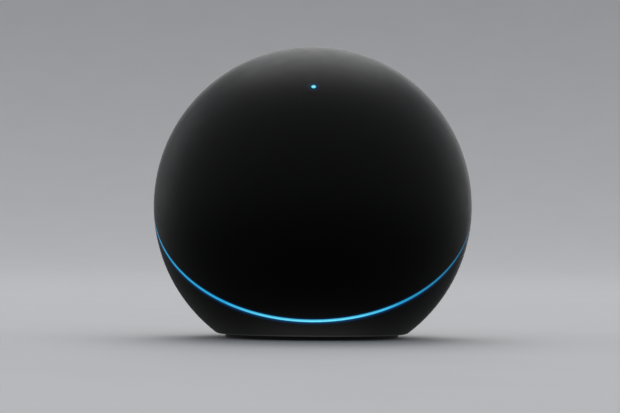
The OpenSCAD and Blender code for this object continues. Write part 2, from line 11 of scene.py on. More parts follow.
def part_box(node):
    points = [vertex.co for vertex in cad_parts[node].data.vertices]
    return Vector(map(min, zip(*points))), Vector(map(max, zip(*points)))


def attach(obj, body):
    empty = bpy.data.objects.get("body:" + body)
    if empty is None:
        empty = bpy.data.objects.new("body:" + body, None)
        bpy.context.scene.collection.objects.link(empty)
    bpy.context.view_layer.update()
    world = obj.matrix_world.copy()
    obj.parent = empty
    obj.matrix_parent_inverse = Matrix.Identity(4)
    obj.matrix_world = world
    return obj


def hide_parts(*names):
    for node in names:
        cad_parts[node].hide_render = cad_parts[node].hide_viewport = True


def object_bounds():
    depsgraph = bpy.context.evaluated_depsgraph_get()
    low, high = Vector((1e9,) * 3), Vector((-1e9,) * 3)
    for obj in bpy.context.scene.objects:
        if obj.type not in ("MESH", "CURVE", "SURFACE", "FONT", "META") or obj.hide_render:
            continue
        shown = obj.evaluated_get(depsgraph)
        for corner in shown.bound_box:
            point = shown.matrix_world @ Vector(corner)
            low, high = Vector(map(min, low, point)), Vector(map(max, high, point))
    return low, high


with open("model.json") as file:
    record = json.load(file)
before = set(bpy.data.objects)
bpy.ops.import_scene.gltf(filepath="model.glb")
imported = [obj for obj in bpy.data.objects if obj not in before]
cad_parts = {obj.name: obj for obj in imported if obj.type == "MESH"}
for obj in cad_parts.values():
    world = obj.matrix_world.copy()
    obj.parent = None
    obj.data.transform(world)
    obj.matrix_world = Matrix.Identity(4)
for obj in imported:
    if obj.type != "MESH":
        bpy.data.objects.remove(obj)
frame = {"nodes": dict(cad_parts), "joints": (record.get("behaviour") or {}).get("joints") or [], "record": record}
cad_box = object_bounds()

MM = 0.001

# Driving places, all read from the frame
ball_low, ball_high = cad_box
BALL_R = (ball_high.x - ball_low.x) / 2
CENTRE = Vector((0, 0, ball_high.z - BALL_R))
spin = next(j for j in frame["joints"] if j["name"] == "dome_spin")
AXIS = Vector(spin["axis"]).normalized()
LEAN = math.atan2(-AXIS.y, AXIS.z)
LEANING = Matrix.Translation(CENTRE) @ Matrix.Rotation(LEAN, 4, "X")   # the dome's own frame
UPRIGHT = Matrix.Identity(4)


# ------------------------------------------------------------------ shader building

def map_range(tree, from_low, from_high, low, high):
    """A node that maps a value from one range to another, clamped."""
    made = tree.nodes.new("ShaderNodeMapRange")
    sockets = ("From Min", "From Max", "To Min", "To Max")
    for socket, number in zip(sockets, (from_low, from_high, low, high)):
        made.inputs[socket].default_value = number
    return made


class Shader:
    """One node material: a principled surface with helpers that hang procedural detail on it."""

    def __init__(self, name):
        self.material = bpy.data.materials.new(name)
        self.material.use_nodes = True
        self.tree = self.material.node_tree
        self.tree.nodes.clear()
        self.surface = self.node("ShaderNodeBsdfPrincipled")
        self.output = self.node("ShaderNodeOutputMaterial")
        self.link(self.surface.outputs[0], self.output.inputs["Surface"])
        self.place = self.node("ShaderNodeTexCoord").outputs["Object"]

    def node(self, kind, **settings):
        made = self.tree.nodes.new(kind)
        for key, value in settings.items():
            setattr(made, key, value)
        return made

    def link(self, source, target):
        self.tree.links.new(source, target)

    def set(self, **inputs):
        """Plain values on the surface's own sockets, such as metallic=1."""
        for key, value in inputs.items():
            socket = key.replace("_", " ").title().replace("Ior", "IOR")
            self.surface.inputs[socket].default_value = value
        return self

    def axes(self, place=None):
        """The X, Y and Z of a place, by default the object's own coordinates."""
        parts = self.node("ShaderNodeSeparateXYZ")
        self.link(place or self.place, parts.inputs[0])
        return parts.outputs

    def stretched(self, factors):
        """The object's coordinates, stretched, for grain that runs one way."""
        mapping = self.node("ShaderNodeMapping")
        mapping.inputs["Scale"].default_value = factors
        self.link(self.place, mapping.inputs["Vector"])
        return mapping.outputs[0]

    def noise(self, size_mm, detail=3.0, rough=0.5, place=None):
        made = self.node("ShaderNodeTexNoise")
        made.inputs["Scale"].default_value = 1 / (size_mm * MM)
        made.inputs["Detail"].default_value = detail
        made.inputs["Roughness"].default_value = rough
        self.link(place or self.place, made.inputs["Vector"])
        return made.outputs["Fac"]

    def cells(self, size_mm, feature="F1"):
        made = self.node("ShaderNodeTexVoronoi", feature=feature)
        made.inputs["Scale"].default_value = 1 / (size_mm * MM)
        self.link(self.place, made.inputs["Vector"])
        return made.outputs["Distance"]

    def span(self, value, low, high, from_low=0.0, from_high=1.0):
        """Maps a value from one range to another, clamped."""
        made = map_range(self.tree, from_low, from_high, low, high)
        self.link(value, made.inputs["Value"])
        return made.outputs[0]

    def math(self, operation, first, second=0.0):
        made = self.node("ShaderNodeMath", operation=operation)
        for socket, value in zip(made.inputs, (first, second)):
            if isinstance(value, (int, float)):
                socket.default_value = value
            else:
                self.link(value, socket)
        return made.outputs[0]

    def blend(self, factor, first, second):
        """A colour between two colours; each may be a colour or another node's output."""
        made = self.node("ShaderNodeMix", data_type="RGBA")
        self.link(factor, made.inputs["Factor"])
        for socket, value in ((made.inputs[6], first), (made.inputs[7], second)):
            if isinstance(value, tuple):
                socket.default_value = (*value, 1)
            else:
                self.link(value, socket)
        return made.outputs[2]

    def paint(self, colour):
        self.link(colour, self.surface.inputs["Base Color"])
        return self

    def rough(self, value):
        self.link(value, self.surface.inputs["Roughness"])
        return self

    def bump(self, *layers):
        """Relief from (height, depth in mm) layers, the coarsest first."""
        normal = None
        for height, depth_mm in layers:
            made = self.node("ShaderNodeBump")
            made.inputs["Strength"].default_value = 1
            made.inputs["Distance"].default_value = depth_mm * MM
            self.link(height, made.inputs["Height"])
            if normal:
                self.link(normal, made.inputs["Normal"])
            normal = made.outputs[0]
        self.link(normal, self.surface.inputs["Normal"])
        return self

    def leaning_place(self):
        """Distance from the dome's axis and height along it, both in millimetres."""
        mapping = self.node("ShaderNodeMapping", vector_type="TEXTURE")
        mapping.inputs["Location"].default_value = CENTRE
        mapping.inputs["Rotation"].default_value = (LEAN, 0, 0)
        mapping.inputs["Scale"].default_value = (MM, MM, MM)
        self.link(self.place, mapping.inputs["Vector"])
        x, y, height = self.axes(mapping.outputs[0])
        square = self.math("ADD", self.math("POWER", x, 2.0), self.math("POWER", y, 2.0))
        return self.math("SQRT", square), height

    def glow(self, colour, strength):
        """Light of its own; colour may be a colour or a node's output, as strength is."""
        socket = self.surface.inputs["Emission Color"]
        if isinstance(colour, tuple):
            socket.default_value = (*colour, 1)
        else:
            self.link(colour, socket)
        self.link(strength, self.surface.inputs["Emission Strength"])
        return self


def moulded(name, colour, rough, grain_mm=0.35, depth_mm=0.006, mottle=0.18, **sockets):
    """Injection-moulded plastic: spark-eroded grain, faint flow mottling, uneven sheen."""
    s = Shader(name)
    lift = tuple(min(1.0, c * (1 + mottle)) for c in colour)
    s.paint(s.blend(s.noise(14, 4), colour, lift))
    s.rough(s.span(s.noise(5, 5), *rough, 0.3, 0.7))
    s.bump((s.noise(grain_mm * 3, 3), depth_mm), (s.noise(grain_mm, 2), depth_mm))
    return s.set(**sockets)


def cast(name, colour, rough, peel_mm, depth_mm, **sockets):
    """Painted casting: orange peel, fine powder speckle."""
    s = Shader(name)
    speckle = s.span(s.cells(0.22), 0, 1, 0.05, 0.5)
    s.paint(s.blend(speckle, tuple(c * 1.25 for c in colour), colour))
    s.rough(s.span(s.noise(4, 4), *rough, 0.3, 0.7))
    s.bump((s.noise(peel_mm, 2), depth_mm), (s.noise(0.2, 2), depth_mm * 0.4))
    return s.set(**sockets)


def metal(name, colour, rough, stretch=(1, 1, 1), line_mm=0.12):
    """Bare metal with machining lines: stretch above 1 packs the lines closer along that axis."""
    depth_mm = 0.002
    s = Shader(name)
    grain = s.noise(line_mm * 8, 6, 0.6, s.stretched(stretch))
    dark = tuple(c * 0.78 for c in colour)
    s.paint(s.blend(grain, dark, colour))
    s.rough(s.span(grain, *rough, 0.3, 0.7))
    s.bump((grain, depth_mm), (s.noise(line_mm, 2), depth_mm * 0.5))
    return s.set(metallic=1.0)


def board(name, mask, track):
    """Circuit board: solder mask over copper tracks that run as stepped, angled lines."""
    s = Shader(name)
    lanes = s.cells(1.6, "DISTANCE_TO_EDGE")
    copper = s.span(lanes, 1, 0, 0.06, 0.1)
    weave = s.noise(0.25, 2)
    s.paint(s.blend(copper, mask, track))
    s.rough(s.span(weave, 0.28, 0.42))
    s.bump((copper, 0.02), (weave, 0.004))
    return s.set(coat_weight=0.25, coat_roughness=0.2)


SEAM_BRIGHT = (0.16, 0.8, 1.0)
SEAM_DEEP = (0.02, 0.4, 0.74)
SEAM_HALF_MM = 0.5
SEAM_LEFT_SHARE, SEAM_RIGHT_SHARE = 0.8, 0.22       # what is left of the light at the seam's two ends


def seam_level(s):
    """How strongly the seam shines at a place: full at the front, weaker towards its two ends."""
    across = s.axes()[0]
    left = s.span(across, SEAM_LEFT_SHARE, 1, -0.97 * BALL_R, -0.5 * BALL_R)
    right = s.span(across, 1, SEAM_RIGHT_SHARE, 0.42 * BALL_R, 0.97 * BALL_R)
    return s.math("MULTIPLY", left, right)


def seam_light():
    """The diffuser: a pale core at the low front, deeper blue at its edges and round the sides."""
    s = Shader("seam_light")
    low_front = s.span(s.axes()[1], 1, 0, -math.cos(LEAN) * BALL_R, -0.6 * BALL_R)
    _, height = s.leaning_place()
    core = s.span(s.math("ABSOLUTE", height), 1, 0, 0.3 * SEAM_HALF_MM, SEAM_HALF_MM)
    cloudy = s.span(s.noise(2.2, 3), 0.93, 1.07, 0.3, 0.7)
    s.paint(s.blend(s.noise(3), (0.02, 0.09, 0.13), (0.03, 0.12, 0.17)))
    s.rough(s.span(s.noise(0.8, 3), 0.35, 0.5))
    s.bump((s.noise(0.15, 2), 0.004))
    pale = s.math("MULTIPLY", low_front, s.span(core, 0.35, 1))
    strength = s.math("MULTIPLY", s.math("MULTIPLY", seam_level(s), cloudy), s.span(core, 0.85, 1.05))
    return s.glow(s.blend(pale, SEAM_DEEP, SEAM_BRIGHT), strength)


LENS_R_MM = 1.5


def lens_light():
    """The smoked lens at the pole: a bright core that dies away through dark blue to black glass."""
    s = Shader("lens_light")
    away, _ = s.leaning_place()
    core = s.span(away, 1, 0, 0.6, 0.95)
    halo = s.span(away, 1, 0, 0.8, LENS_R_MM)
    s.paint(s.blend(halo, (0.001, 0.0012, 0.0016), (0.004, 0.02, 0.03)))
    s.rough(s.span(s.noise(0.5, 3), 0.3, 0.4))
    s.bump((s.noise(0.4, 2), 0.002))
    colour = s.blend(core, (0.0, 0.13, 0.22), (0.22, 0.83, 1.0))
    strength = s.math("ADD", s.math("MULTIPLY", core, 0.5), s.math("MULTIPLY", halo, 0.5))
    return s.glow(colour, strength).set(specular_ior_level=0.1)


SPILL_BLUE = (0.0, 0.06, 0.2)
SPILL_REACH_MM = 2.2


def seam_spill(s, height):
    """Blue light that spills from the seam onto the surfaces beside it, as strong as the light there."""
    near = s.span(s.math("ABSOLUTE", height), 1, 0, SEAM_HALF_MM, SEAM_HALF_MM + SPILL_REACH_MM)
    return s.math("MULTIPLY", s.math("POWER", near, 4.0), seam_level(s))


def dome_skin():
    """Soft-touch black plastic; light spills onto it beside the seam and round the lens."""
    s = moulded("dome_skin", (0.0038, 0.0038, 0.0042), (0.43, 0.47), grain_mm=0.22, depth_mm=0.0045,
                mottle=0.25, specular_ior_level=0.17)
    away, height = s.leaning_place()
    seep = s.math("MULTIPLY", s.span(away, 1, 0, 1.4, 2.8), s.span(height, 0, 1, 50.0, 57.0))
    lens_spill = s.math("MULTIPLY", s.math("POWER", seep, 2.0), 0.25)
    return s.glow(SPILL_BLUE, s.math("ADD", lens_spill, seam_spill(s, height)))


def housing_skin():
    """Powder-coated casting, lit by the seam like the dome."""
    s = cast("housing_paint", (0.0042, 0.0042, 0.0048), (0.46, 0.5), peel_mm=0.7, depth_mm=0.006,
             specular_ior_level=0.2)
    _, height = s.leaning_place()
    return s.glow(SPILL_BLUE, seam_spill(s, height))


def rubber(name, colour):
    """Moulded rubber: dull, with a coarse pebbled grain."""
    s = Shader(name)
    s.paint(s.blend(s.noise(3, 4), colour, tuple(c * 1.6 for c in colour)))
    s.rough(s.span(s.noise(1.2, 4), 0.62, 0.82))
    s.bump((s.cells(0.5), 0.012), (s.noise(0.12, 2), 0.008))
    return s


def fibre_cable(name):
    """Amber flexible circuit with copper runs along its length."""
    pitch_mm = 0.8
    s = Shader(name)
    lane = s.math("SINE", s.math("MULTIPLY", s.axes()[0], 2 * math.pi / (pitch_mm * MM)))
    run = s.span(lane, 0, 1, 0.1, 0.4)
    s.paint(s.blend(run, (0.42, 0.2, 0.04), (0.62, 0.34, 0.12)))
    s.rough(s.span(s.noise(1, 3), 0.25, 0.4))
    s.bump((run, 0.02))
    return s.set(coat_weight=0.3)


def socket_gold():
    """Plated gold that falls into shade down the bore of a socket."""
    s = metal("socket_gold", (0.86, 0.6, 0.22), (0.12, 0.24), (2, 1, 2))
    # Painted shade: the gold is darkened towards the bottom of each bore, blended from its unshaded colour
    lit = s.span(s.axes()[1], 0.04, 1, 37.5 * MM, 41.2 * MM)
    unshaded_gold = s.surface.inputs["Base Color"].links[0].from_socket
    return s.paint(s.blend(lit, (0.03, 0.02, 0.008), unshaded_gold))


SOCKET_GOLD = socket_gold()
RING_GREY = moulded("ring_grey", (0.09, 0.09, 0.095), (0.3, 0.45), 0.25, 0.004)
WINDOW_GREEN = moulded("window_green", (0.05, 0.32, 0.09), (0.12, 0.22), 0.4, 0.003)
WINDOW_AMBER = moulded("window_amber", (0.6, 0.26, 0.02), (0.12, 0.22), 0.4, 0.003)
LOOKS = {
    "dome_plastic": dome_skin(),
    "housing_paint": housing_skin(),
    "ring_diffuser": seam_light(),
    "lens_plastic": lens_light(),
    "foot_rubber": rubber("foot_rubber", (0.016, 0.016, 0.017)),
    "cover_plastic": moulded("cover_plastic", (0.02, 0.02, 0.022), (0.35, 0.5)),
    "panel_plastic": moulded("panel_plastic", (0.014, 0.014, 0.016), (0.45, 0.6), 0.3, 0.012),
    "chassis_aluminium": metal("chassis_aluminium", (0.62, 0.63, 0.65), (0.35, 0.5), (1, 14, 14)),
    "spindle_aluminium": metal("spindle_aluminium", (0.78, 0.79, 0.8), (0.2, 0.32), (1, 9, 9)),
    "carrier_plastic": moulded("carrier_plastic", (0.04, 0.041, 0.045), (0.38, 0.55), 0.6, 0.015),
    "screw_steel": metal("screw_steel", (0.6, 0.6, 0.62), (0.22, 0.34), (3, 3, 1)),
    "black_screw_steel": metal("black_screw_steel", (0.045, 0.045, 0.05), (0.3, 0.45)),
    "bearing_steel": metal("bearing_steel", (0.72, 0.73, 0.75), (0.08, 0.16), line_mm=0.3),
    "spring_steel": metal("spring_steel", (0.33, 0.34, 0.38), (0.25, 0.4)),
    "cage_brass": metal("cage_brass", (0.72, 0.5, 0.22), (0.25, 0.38)),
    "magnet_black": cast("magnet_black", (0.05, 0.05, 0.055), (0.5, 0.7), 0.5, 0.02),
    "circuit_board": board("circuit_board", (0.006, 0.055, 0.03), (0.02, 0.12, 0.06)),
    "power_circuit_board": board("power_circuit_board", (0.22, 0.13, 0.04), (0.34, 0.2, 0.07)),
    "led_white": moulded("led_white", (0.78, 0.76, 0.64), (0.3, 0.45), 0.3),
    "chip_black": moulded("chip_black", (0.018, 0.018, 0.02), (0.5, 0.65), 0.2, 0.006),
    "cap_plastic": moulded("cap_plastic", (0.66, 0.65, 0.6), (0.4, 0.55), 0.5, 0.01, 0.06),
    "copper": metal("copper", (0.78, 0.36, 0.18), (0.22, 0.36), (5, 5, 5)),
    "flex_cable": fibre_cable("flex_cable"),
    "can_steel": metal("can_steel", (0.66, 0.66, 0.67), (0.24, 0.36), (1, 12, 1)),
    "ferrite": cast("ferrite", (0.07, 0.07, 0.075), (0.55, 0.75), 0.3, 0.012),
    "capacitor_sleeve": moulded("capacitor_sleeve", (0.02, 0.035, 0.12), (0.16, 0.28), 0.8, 0.006),
    "thermal_silicone": rubber("thermal_silicone", (0.2, 0.24, 0.3)),
    "connector_plastic": moulded("connector_plastic", (0.7, 0.67, 0.58), (0.4, 0.55), 0.4, 0.008, 0.06),
    "transformer_tape": moulded("transformer_tape", (0.62, 0.42, 0.05), (0.2, 0.35), 1.2, 0.02),
    "ceramic_body": cast("ceramic_body", (0.62, 0.56, 0.44), (0.35, 0.55), 0.6, 0.006),
    "port_plastic": moulded("port_plastic", (0.012, 0.012, 0.013), (0.28, 0.42), 0.25, 0.004),
    "contact_gold": metal("contact_gold", (0.86, 0.6, 0.22), (0.12, 0.24), (2, 1, 2)),
    "pin_nickel": metal("pin_nickel", (0.68, 0.67, 0.64), (0.12, 0.24), (4, 1, 4)),
    "lead_insulation": moulded("lead_insulation", (0.32, 0.02, 0.015), (0.35, 0.5), 0.4, 0.008),
    "shutter_plastic": moulded("shutter_plastic", (0.05, 0.051, 0.056), (0.3, 0.45), 0.25, 0.004),
}


SLOT_OF = {row["node"]: row["material_slot"] for row in frame["record"]["subparts"]}
BODIES = frame["record"]["behaviour"]["bodies"]
BODY_OF = {node: body for body, nodes in BODIES.items() for node in nodes}


def dress_frame():
    """Every CAD node takes the look of its own material slot."""
    for name, node in frame["nodes"].items():
        for slot in node.material_slots:
            slot.material = LOOKS[SLOT_OF[name]].material


# ------------------------------------------------------------------ mesh building

SHARP_DEG = 32          # an edge that turns by more stays crisp


def close_up(mesh, reach):
    """Joins a mesh's points that lie within reach of each other, and turns its faces outwards."""
    shape = bmesh.new()
    shape.from_mesh(mesh)
    bmesh.ops.remove_doubles(shape, verts=shape.verts, dist=reach)
    bmesh.ops.recalc_face_normals(shape, faces=shape.faces)
    shape.to_mesh(mesh)
    shape.free()


def piece(name, points, faces, slot, body, place=UPRIGHT, look=None):
    """A closed mesh from points in millimetres, placed in the row frame, that rides on a body."""
    mesh = bpy.data.meshes.new(name)
    mesh.from_pydata([Vector(p) * MM for p in points], [], faces)
    close_up(mesh, 1e-7)
    mesh.transform(place)
    return finish_piece(bpy.data.objects.new(name, mesh), slot, body, look)


def finish_piece(made, slot, body, look=None, sharp_deg=SHARP_DEG):
    """Puts a new object in the scene with its look, its material slot and the body that it rides on."""
    bpy.context.scene.collection.objects.link(made)
    made.data.materials.clear()
    made.data.materials.append((look or LOOKS[slot]).material)
    made.data.shade_smooth()
    made.data.set_sharp_from_angle(angle=math.radians(sharp_deg))
    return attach(made, body)


def arc(across, up, radius, start_deg, end_deg, steps):
    """Points of a circular arc in the profile's plane."""
    turns = [math.radians(start_deg + (end_deg - start_deg) * i / steps) for i in range(steps + 1)]
    return [(across + radius * math.cos(t), up + radius * math.sin(t)) for t in turns]


def lathe_mesh(profile, segments):
    """Points and faces of a closed (radius, height) profile turned about Z."""
    points, faces, count = [], [], len(profile)
    for i in range(segments):
        turn = 2 * math.pi * i / segments
        points += [(r * math.cos(turn), r * math.sin(turn), z) for r, z in profile]
    for i in range(segments):
        for k in range(count):
            a, b = i * count, ((i + 1) % segments) * count
            faces.append((a + k, b + k, b + (k + 1) % count, a + (k + 1) % count))
    return points, faces


def along_y(mesh, at):
    """A turned mesh laid over, its axis along Y through the (x, z) of at."""
    points, faces = mesh
    return [(x + at[0], z, -y + at[1]) for x, y, z in points], faces


def joined(*meshes):
    """Several point-and-face meshes as one."""
    points, faces = [], []
    for more_points, more_faces in meshes:
        shift = len(points)
        points += more_points
        faces += [tuple(i + shift for i in face) for face in more_faces]
    return points, faces


def tube_mesh(path, radius, sides, closed=False, up=None):
    """A round tube along a path; up(point) gives a direction that its rings keep to."""
    count = len(path)
    points, faces = [], []
    for i, point in enumerate(path):
        before = path[(i - 1) % count] if closed or i else path[0]
        after = path[(i + 1) % count] if closed or i < count - 1 else path[-1]
        along = (Vector(after) - Vector(before)).normalized()
        side = along.cross(Vector(up(point)) if up else Vector((0, 0, 1))).normalized()
        lift = side.cross(along)
        for k in range(sides):
            turn = 2 * math.pi * k / sides
            points.append(Vector(point) + radius * (math.cos(turn) * side + math.sin(turn) * lift))
    for i in range(count if closed else count - 1):
        a, b = i * sides, ((i + 1) % count) * sides
        for k in range(sides):
            faces.append((a + k, b + k, b + (k + 1) % sides, a + (k + 1) % sides))
    if not closed:
        faces.append(tuple(range(sides - 1, -1, -1)))
        faces.append(tuple((count - 1) * sides + k for k in range(sides)))
    return points, faces


def block_mesh(centre, size, bevel):
    """A block with every edge rounded back by bevel."""
    shape = bmesh.new()
    bmesh.ops.create_cube(shape, size=1)
    for v in shape.verts:
        v.co = Vector([c + s * d for c, s, d in zip(centre, size, v.co)])
    bmesh.ops.bevel(shape, geom=shape.edges[:], offset=bevel, segments=2, profile=0.7,
                    affect="EDGES")
    points = [tuple(v.co) for v in shape.verts]
    faces = [tuple(v.index for v in f.verts) for f in shape.faces]
    shape.free()
    return points, faces


def round_outline(width, height, radius, at):
    """A rounded rectangle round the (x, z) of at, as (x, z) points, counter-clockwise."""
    x, z = at
    dx, dz = width / 2 - radius, height / 2 - radius
    outline = []
    for i, (side, end) in enumerate(((1, 1), (-1, 1), (-1, -1), (1, -1))):
        outline += arc(x + side * dx, z + end * dz, radius, i * 90, i * 90 + 90, 8)
    return outline


def disc_outline(at, radius):
    """A circle round the (x, z) of at, as (x, z) points that don't repeat the first."""
    steps = 32
    return arc(*at, radius, 0, 360 * (steps - 1) / steps, steps - 1)


def plate_piece(name, outlines, y0, y1, bevel, slot, body):
    """A flat plate in the X-Z plane with rounded edges: the first outline is its rim, the others are
    holes."""
    curve = bpy.data.curves.new(name, "CURVE")
    curve.dimensions = "2D"
    curve.fill_mode = "BOTH"
    curve.extrude = ((y1 - y0) / 2 - bevel) * MM
    curve.bevel_depth = bevel * MM
    curve.bevel_resolution = 2
    curve.offset = -bevel * MM
    for outline in outlines:
        line = curve.splines.new("POLY")
        line.points.add(len(outline) - 1)
        for point, (x, z) in zip(line.points, outline):
            point.co = (x * MM, z * MM, 0, 1)
        line.use_cyclic_u = True
    source = bpy.data.objects.new(name + "_curve", curve)
    bpy.context.scene.collection.objects.link(source)
    drawn = source.evaluated_get(bpy.context.evaluated_depsgraph_get())
    mesh = bpy.data.meshes.new_from_object(drawn)
    bpy.data.objects.remove(source)
    bpy.data.curves.remove(curve)
    mesh.transform(Matrix.Translation((0, (y0 + y1) / 2 * MM, 0)) @ Matrix.Rotation(math.pi / 2, 4, "X"))
    close_up(mesh, 1e-6)
    mesh.name = name
    return finish_piece(bpy.data.objects.new(name, mesh), slot, body)


def welded(node):
    """A CAD node's mesh with its faces joined into closed shells and its slivers taken out."""
    reach = 2e-6
    shape = bmesh.new()
    shape.from_mesh(frame["nodes"][node].data)
    bmesh.ops.remove_doubles(shape, verts=shape.verts, dist=reach)
    bmesh.ops.dissolve_degenerate(shape, edges=shape.edges, dist=reach)
    return shape


def stand_in(node, shape, ending, sharp_deg):
    """Makes a shape into the piece that is seen instead of its CAD node."""
    mesh = bpy.data.meshes.new(node + ending)
    shape.to_mesh(mesh)
    shape.free()
    made = bpy.data.objects.new(mesh.name, mesh)
    finish_piece(made, SLOT_OF[node], BODY_OF[node], sharp_deg=sharp_deg)
    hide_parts(node)


def weld(node):
    """Stands in for a CAD node with the same shape, closed, its slight edges kept crisp."""
    stand_in(node, welded(node), "_welded", 12)


def soften(node, width_mm):
    """Stands in for a CAD node with the same shape, its sharp edges broken by a small bevel."""
    shape = welded(node)
    bmesh.ops.dissolve_limit(shape, angle_limit=math.radians(1), verts=shape.verts, edges=shape.edges)
    sharp = [e for e in shape.edges if e.calc_face_angle(0) > math.radians(SHARP_DEG)]
    bmesh.ops.bevel(shape, geom=sharp, offset=width_mm * MM, segments=2, profile=0.6,
                    affect="EDGES", clamp_overlap=True)
    stand_in(node, shape, "_edged", 50)


def box_mm(node):
    """A CAD node's lowest and highest corners, in millimetres."""
    low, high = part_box(node)
    return low / MM, high / MM


def middle_of(node):
    """The (x, z) of a CAD node's middle, in millimetres."""
    low, high = box_mm(node)
    return (low.x + high.x) / 2, (low.z + high.z) / 2


# ------------------------------------------------------------------ outside

R_MM = BALL_R / MM


def make_light_band():
    """The diffuser ring, its visible edge softly crowned to the ball's own curve."""
    inner, outer, half, edge, crown = R_MM - 4.8, R_MM - 0.05, SEAM_HALF_MM, 0.14, 0.02
    profile = [(inner, -half), *arc(outer - edge - crown, -half + edge, edge, -90, -10, 5), (outer, 0),
               *arc(outer - edge - crown, half - edge, edge, 10, 90, 5), (inner, half)]
    made = piece("light_band", *lathe_mesh(profile, 360), "ring_diffuser", "base", LEANING)
    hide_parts("light_ring")


def make_lens():
    """The status lens: a polished window flush with the ball, on a stem that reaches down to its
    emitter. Heights are along the dome's axis."""
    low, high = 52.6, R_MM - 0.05
    stem_r, chamfer, rim = LENS_R_MM, 0.25, 0.12
    flange_r, flange_low, flange_high = 3.2, 54.3, R_MM - 2.73
    face = [(r, math.sqrt(high * high - r * r)) for r in (0.9, 0.6, 0.3)]
    edge = math.sqrt(high * high - (stem_r - rim) ** 2)
    profile = [(0, low), (stem_r - chamfer, low), (stem_r, low + chamfer), (stem_r, flange_low),
               (flange_r, flange_low), (flange_r, flange_high), (stem_r, flange_high),
               *arc(stem_r - rim, edge - rim, rim, 0, 84, 4), *face, (0, high)]
    made = piece("status_window", *lathe_mesh(profile, 72), "lens_plastic", "dome", LEANING)
    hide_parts("status_lens")


def make_foot():
    """The rubber foot: rounded lips and two drainage grooves."""
    _, high = box_mm("foot_pad")
    outer, top = high.x, high.z
    inner, lip, edge, depth, half_mouth, half_bed = 21, 0.35, 0.12, 0.42, 0.6, 0.42

    def groove(radius):
        """A groove's profile, from its inner edge over its bed to its outer edge."""
        return [*arc(radius - half_mouth, edge, edge, -90, 0, 3), (radius - half_bed, depth),
                (radius + half_bed, depth), *arc(radius + half_mouth, edge, edge, 180, 270, 3)]

    profile = [*arc(inner + lip, lip, lip, 180, 270, 5), *groove(24.5), *groove(28),
               *arc(outer - lip, lip, lip, 270, 360, 5), (outer, top), (inner, top)]
    made = piece("foot_ring", *lathe_mesh(profile, 240), "foot_rubber", "base")
    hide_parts("foot_pad")


def make_base_cover():
    """The plain disc inside the foot: a raised border, fine rings and a shallow blank field."""
    low, high = box_mm("base_cover")
    outer, bottom, top = high.x, low.z, high.z
    field, sunk, lip, ring_low, ring_high, half_ring = 11.8, 0.3, 0.25, 0.12, 0.26, 0.16
    profile = [(0, bottom + sunk), (field - sunk, bottom + sunk), *arc(field, bottom + 0.1, 0.2, 90, 0, 3)]
    for i in range(8):
        ring = field + 0.8 + 0.62 * i
        profile += [(ring - half_ring, bottom + ring_low), (ring, bottom + ring_high),
                    (ring + half_ring, bottom + ring_low)]
    profile += [(outer - 0.9, bottom), *arc(outer - lip, bottom + lip, lip, 270, 360, 4),
                (outer, top), (0, top)]
    made = piece("base_disc", *lathe_mesh(profile, 160), "cover_plastic", "base")
    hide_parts("base_cover")


PANEL_GAP = 0.2                         # between the port panel and the bay round it, mm
PANEL_LOW, PANEL_HIGH = box_mm("rear_panel")
PANEL_SIZE = (PANEL_HIGH.x - PANEL_LOW.x, PANEL_HIGH.z - PANEL_LOW.z)
BAY_SIZE = [length + 2 * PANEL_GAP for length in PANEL_SIZE]
BAY_CORNER = 5.0
BAY_AT = middle_of("rear_panel")


def make_bay_lip():
    """A rounded cast lip round the mouth of the port bay, following the ball's surface."""
    sunk, radius = 0.42, 0.5
    outline = round_outline(*BAY_SIZE, BAY_CORNER, BAY_AT)
    stride = 1.2
    path = []
    for (x, z), (next_x, next_z) in zip(outline, outline[1:] + outline[:1]):
        dx, dz = next_x - x, next_z - z
        steps = max(1, round(math.hypot(dx, dz) / stride))
        path += [(x + dx * k / steps, z + dz * k / steps) for k in range(steps)]
    shell = R_MM - sunk - radius * 0.35
    middle = CENTRE.z / MM
    points = [(x, math.sqrt(shell ** 2 - x * x - (z - middle) ** 2), z) for x, z in path]
    made = tube_mesh(points, radius, 12, True, lambda p: (p[0], p[1], p[2] - middle))
    piece("bay_lip", *made, "housing_paint", "base")


# ------------------------------------------------------------------ rear ports

PANEL_Y = PANEL_HIGH.y                  # the panel's face
PORTS = ("speaker_blocks", "power_inlet", "ethernet_jack", "optical_jack", "hdmi_socket", "usb_socket")
PORT_GAP = 0.1
SCREWS_AT = [(-28.2, 31.9), (28.2, 31.9)]
SOCKET_R = 2.9


def port_hole(node):
    """The outline of the panel's hole round a port."""
    low, high = box_mm(node)
    width, height = high.x - low.x + 2 * PORT_GAP, high.z - low.z + 2 * PORT_GAP
    return round_outline(width, height, 0.3, middle_of(node))


def make_panel():
    """The port panel with rounded edges; a thin seat closes in round each screw, under its head."""
    rim = round_outline(*PANEL_SIZE, BAY_CORNER - PANEL_GAP, BAY_AT)
    holes = [port_hole(node) for node in PORTS]
    holes.append(disc_outline(middle_of("pairing_button"), 2.25))
    holes += [disc_outline(at, 1.7) for at in SCREWS_AT]
    made = plate_piece("port_panel", [rim, *holes], PANEL_LOW.y, PANEL_Y, 0.14, "panel_plastic", "base")
    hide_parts("rear_panel")
    seat_r, seat_y = (1.02, 1.75), (PANEL_LOW.y, PANEL_Y - 0.6)
    seat = [(seat_r[0], seat_y[0]), (seat_r[0], seat_y[1]), (seat_r[1], seat_y[1]), (seat_r[1], seat_y[0])]
    seats = [along_y(lathe_mesh(seat, 32), at) for at in SCREWS_AT]
    piece("screw_seats", *joined(*seats), "panel_plastic", "base")


def speaker_places(row):
    """The (x, z) of the two sockets of a row, minus (the lower) or plus."""
    low, high = box_mm("speaker_sockets")
    z = low.z + SOCKET_R if row == "minus" else high.z - SOCKET_R
    return [(low.x + SOCKET_R, z), (high.x - SOCKET_R, z)]


